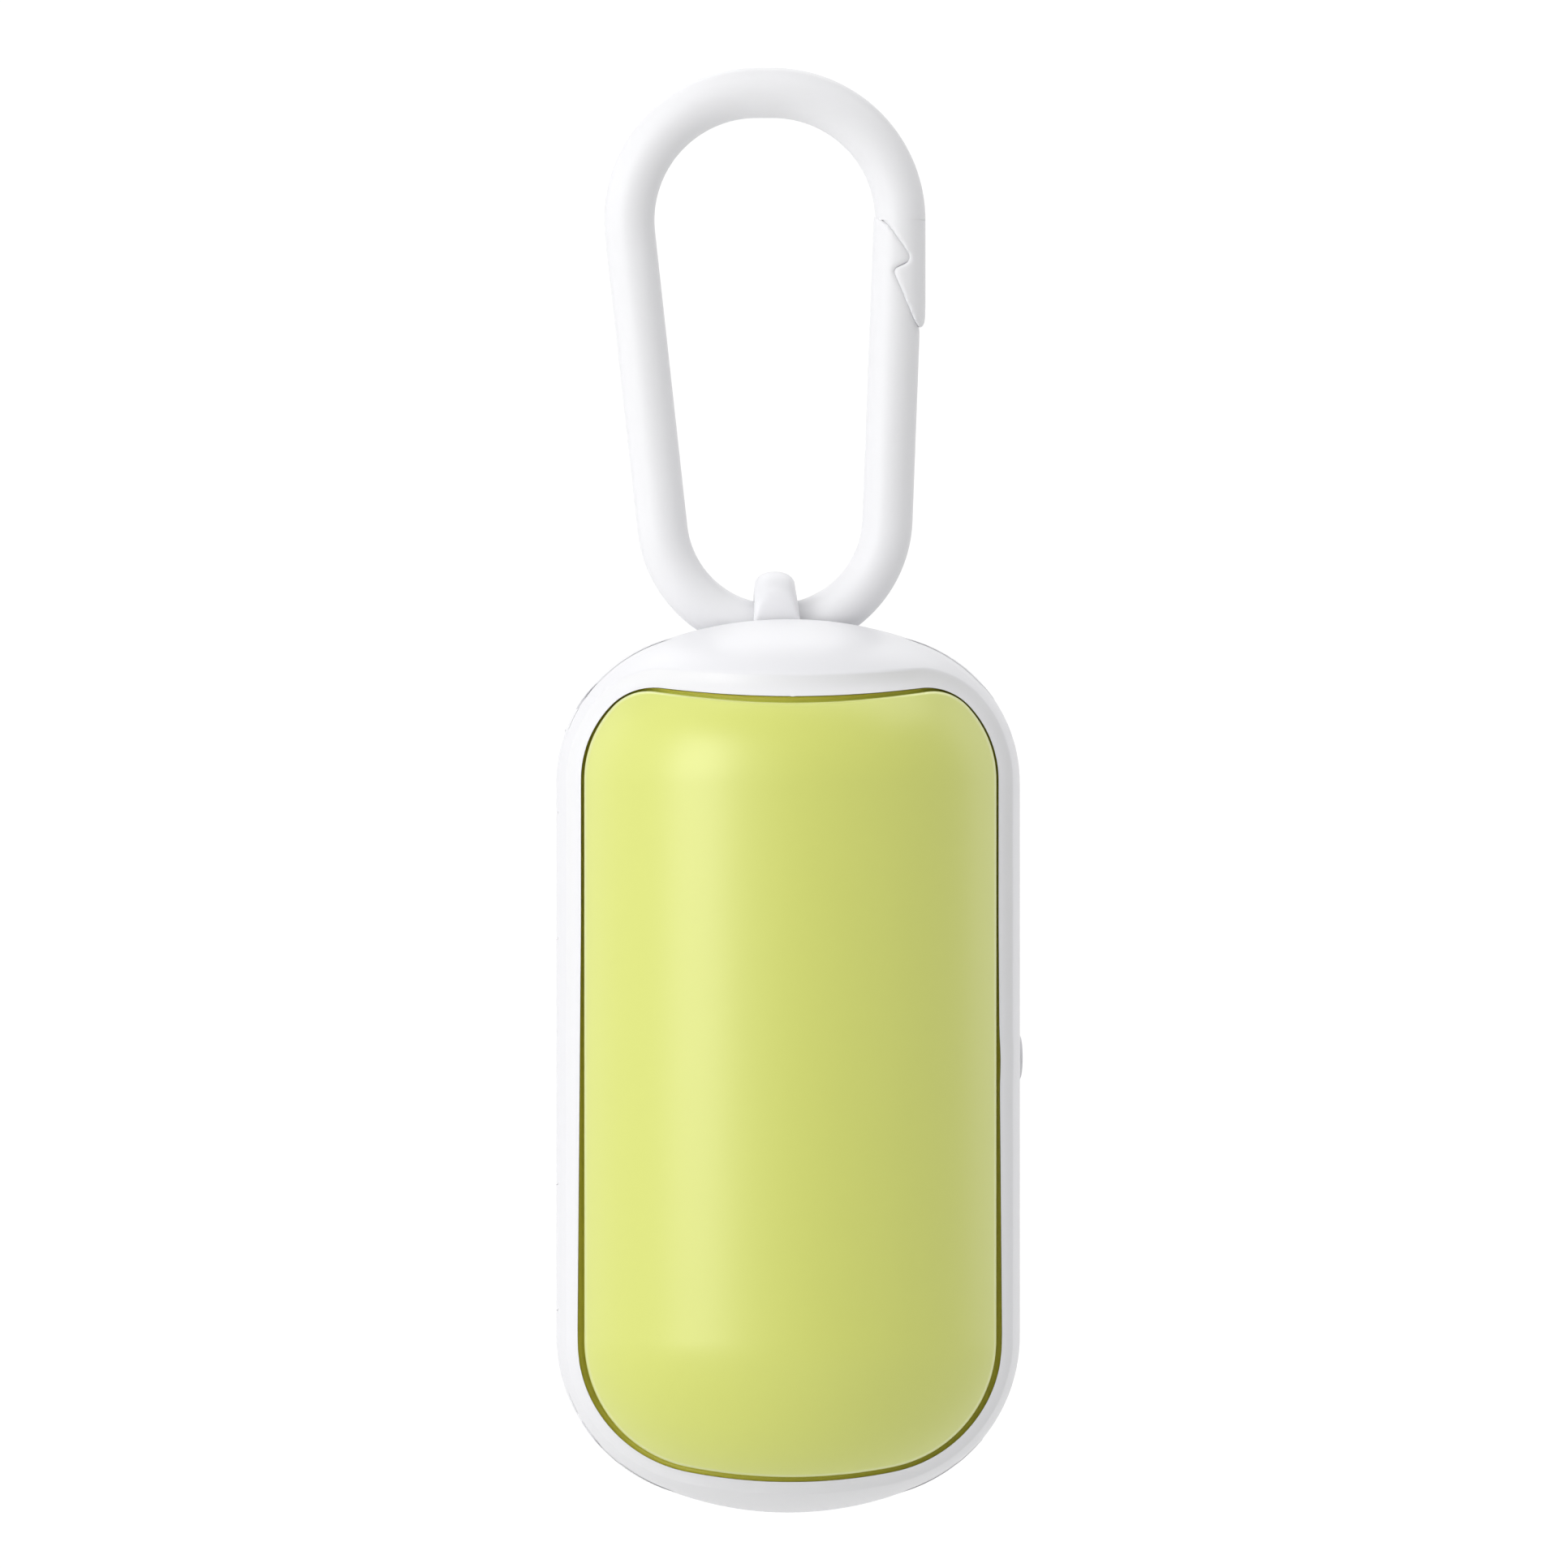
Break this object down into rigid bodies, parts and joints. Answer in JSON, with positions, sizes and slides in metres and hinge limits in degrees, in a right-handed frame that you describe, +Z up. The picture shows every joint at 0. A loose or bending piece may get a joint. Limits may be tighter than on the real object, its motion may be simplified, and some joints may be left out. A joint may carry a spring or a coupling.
{
  "type": "dog waste bag dispenser",
  "caption": "Capsule-shaped clamshell dispenser for a roll of pet waste bags, with an inset front cover, side latch button, rear mouth and a wire-gate carabiner.",
  "frame": {"origin": "inner top of the carabiner's loop, where the strap or ring that carries the part bears", "axes": "+Z up along the hanging part, -Y towards the front cover, +X towards the latch button on the right of the front view"},
  "size_m": [0.0453, 0.0451, 0.1404],
  "materials": {
    "shell_white": "satin",
    "cover_lime": "gloss",
    "steel": "satin",
    "clip_white": "satin",
    "button_white": "satin",
    "mouth_rubber": "matte",
    "inner_white": "matte",
    "card": "matte",
    "film": "satin"
  },
  "bodies": {
    "carabiner": {"carabiner_frame": "clip_white"},
    "gate": {"carabiner_gate": "clip_white"},
    "housing": {"back_shell": "shell_white", "hinge_pin": "steel", "latch_bracket": "steel", "latch_screws": "steel", "latch_spring": "steel", "bag_mouth": "mouth_rubber", "mouth_clamp": "inner_white"},
    "lid": {"front_frame": "shell_white", "front_cover": "cover_lime"},
    "button": {"latch_button": "button_white"},
    "roll": {"roll_spindle": "inner_white", "roll_core": "card", "bag_roll": "film"}
  },
  "joints": [
    {"name": "gate_flex", "type": "hinge", "parent": "carabiner", "child": "gate", "pos_m": [0.01194, 0, -0.03916], "axis": [0, -1, 0], "range_deg": [0, 14], "stiffness_Nm_per_rad": 0.05, "springref_deg": -2.86},
    {"name": "housing_swing", "type": "hinge", "parent": "carabiner", "child": "housing", "pos_m": [0.00095, 0, -0.04975], "axis": [1, 0, 0], "range_deg": [-30, 80]},
    {"name": "lid_hinge", "type": "hinge", "parent": "housing", "child": "lid", "pos_m": [-0.0187, -0.005, -0.09175], "axis": [0, 0, -1], "range_deg": [0, 110]},
    {"name": "button_press", "type": "slide", "parent": "housing", "child": "button", "axis": [-1, 0, 0], "range_m": [0, 0.001], "stiffness_N_per_m": 300, "springref_m": -0.002, "deforming": ["latch_spring"]},
    {"name": "roll_spin", "type": "hinge", "parent": "housing", "child": "roll", "pos_m": [0.00215, -0.005, -0.09185], "axis": [0, 0, 1], "continuous": true}
  ]
}
